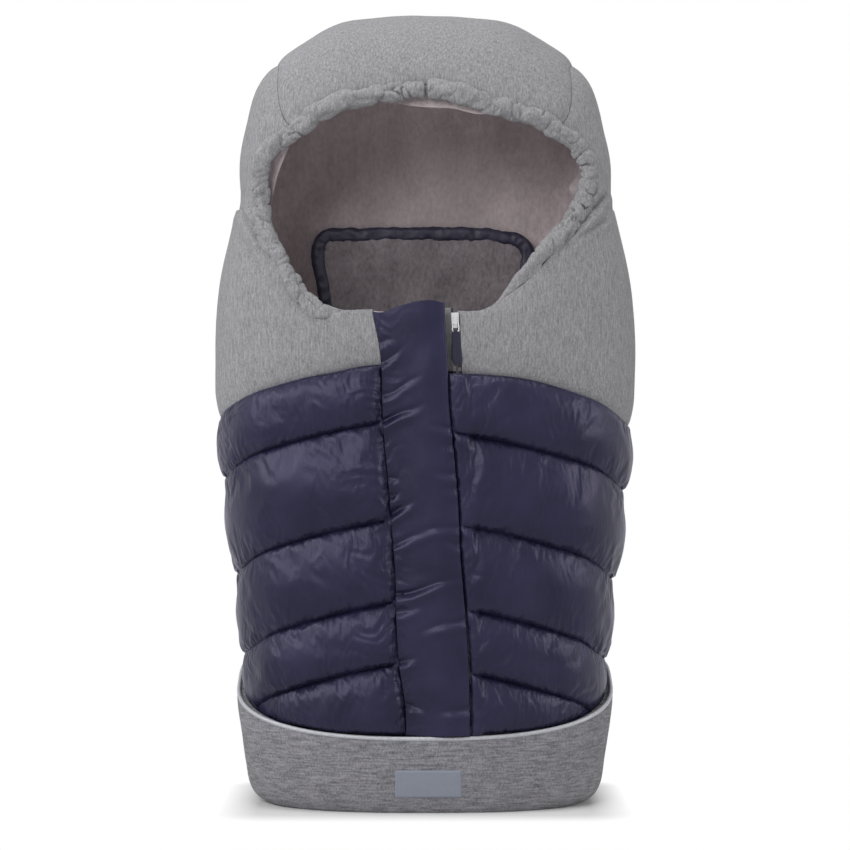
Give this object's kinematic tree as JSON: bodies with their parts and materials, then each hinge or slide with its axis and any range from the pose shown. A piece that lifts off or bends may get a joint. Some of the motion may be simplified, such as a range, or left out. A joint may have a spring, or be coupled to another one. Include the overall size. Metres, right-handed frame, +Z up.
{
  "type": "car seat footmuff",
  "caption": "Hooded baby footmuff for a car seat: quilted zip front, gathered face opening, foot band, harness slots, inner harness flap.",
  "frame": {"origin": "on the floor under the middle of the body, at the sole's flat underside", "axes": "+Z up towards the hood, -Y out of the zipped front, +X to the right as seen from the front"},
  "size_m": [0.4202, 0.1926, 0.7797],
  "materials": {
    "grey_shell": "matt melange cloth",
    "navy_satin": "smooth quilted satin",
    "fleece": "short pile fleece",
    "band_cloth": "matt slub cloth",
    "piping": "reflective piping",
    "elastic": "woven elastic",
    "zip_metal": "bright nickel",
    "zip_plastic": "moulded",
    "zip_tape": "woven tape",
    "label_weave": "woven, bare",
    "hook_and_loop": "hook and loop"
  },
  "bodies": {
    "muff": {"back_shell": "grey_shell", "back_lining": "fleece", "side_panel_left": "navy_satin", "side_panel_right": "navy_satin", "shoulder_left": "grey_shell", "shoulder_right": "grey_shell", "side_lining_left": "fleece", "side_lining_right": "fleece", "front_foot_panel": "navy_satin", "front_foot_lining": "fleece", "foot_lining": "fleece", "foot_sole": "band_cloth", "foot_band": "band_cloth", "band_piping": "piping", "woven_label": "label_weave", "crotch_slot_binding": "navy_satin", "shoulder_slot_left_binding": "navy_satin", "shoulder_slot_right_binding": "navy_satin", "loop_strip": "hook_and_loop"},
    "left_cover": {"cover_panel_left": "navy_satin", "yoke_left": "grey_shell", "placket": "navy_satin", "cover_lining_left": "fleece", "neck_rim_left": "grey_shell", "neck_elastic_left": "elastic", "zip_tape_left": "zip_tape", "zip_coil_left": "zip_plastic", "zip_box": "zip_plastic", "zip_top_stop": "zip_plastic"},
    "right_cover": {"cover_panel_right": "navy_satin", "yoke_right": "grey_shell", "cover_lining_right": "fleece", "neck_rim_right": "grey_shell", "neck_elastic_right": "elastic", "zip_tape_right": "zip_tape", "zip_coil_right": "zip_plastic", "zip_pin": "zip_plastic"},
    "slider": {"zip_slider": "zip_metal"},
    "puller": {"puller_link": "zip_metal", "puller_tab": "navy_satin"},
    "hood": {"hood_crown": "grey_shell", "hood_side_left": "grey_shell", "hood_side_right": "grey_shell", "hood_back": "grey_shell", "hood_lining": "fleece", "hood_back_lining": "fleece", "hood_rim": "grey_shell", "rim_elastic": "elastic"},
    "harness_flap": {"flap_pad": "fleece", "flap_binding": "navy_satin", "hook_strip": "hook_and_loop"}
  },
  "joints": [
    {"name": "left_cover_fold", "type": "hinge", "parent": "muff", "child": "left_cover", "pos_m": [-0.155, -0.07623, 0.1], "axis": [0, 0.0573, -0.9984], "range_deg": [0, 120]},
    {"name": "right_cover_fold", "type": "hinge", "parent": "muff", "child": "right_cover", "pos_m": [0.155, -0.07623, 0.1], "axis": [0, -0.0573, 0.9984], "range_deg": [0, 120]},
    {"name": "zip_slide", "type": "slide", "parent": "left_cover", "child": "slider", "axis": [0.0432, 0.0149, -0.999], "range_m": [0, 0.342]},
    {"name": "puller_swing", "type": "hinge", "parent": "slider", "child": "puller", "pos_m": [0.02906, -0.10638, 0.47209], "axis": [-0.9991, 0.0006, -0.0432], "range_deg": [0, 150]},
    {"name": "hood_fold", "type": "hinge", "parent": "muff", "child": "hood", "pos_m": [0, 0.083, 0.585], "axis": [-1, 0, 0], "range_deg": [0, 50]},
    {"name": "harness_flap_fold", "type": "hinge", "parent": "muff", "child": "harness_flap", "pos_m": [0, 0.05782, 0.33], "axis": [1, 0, 0], "range_deg": [0, 25]}
  ]
}
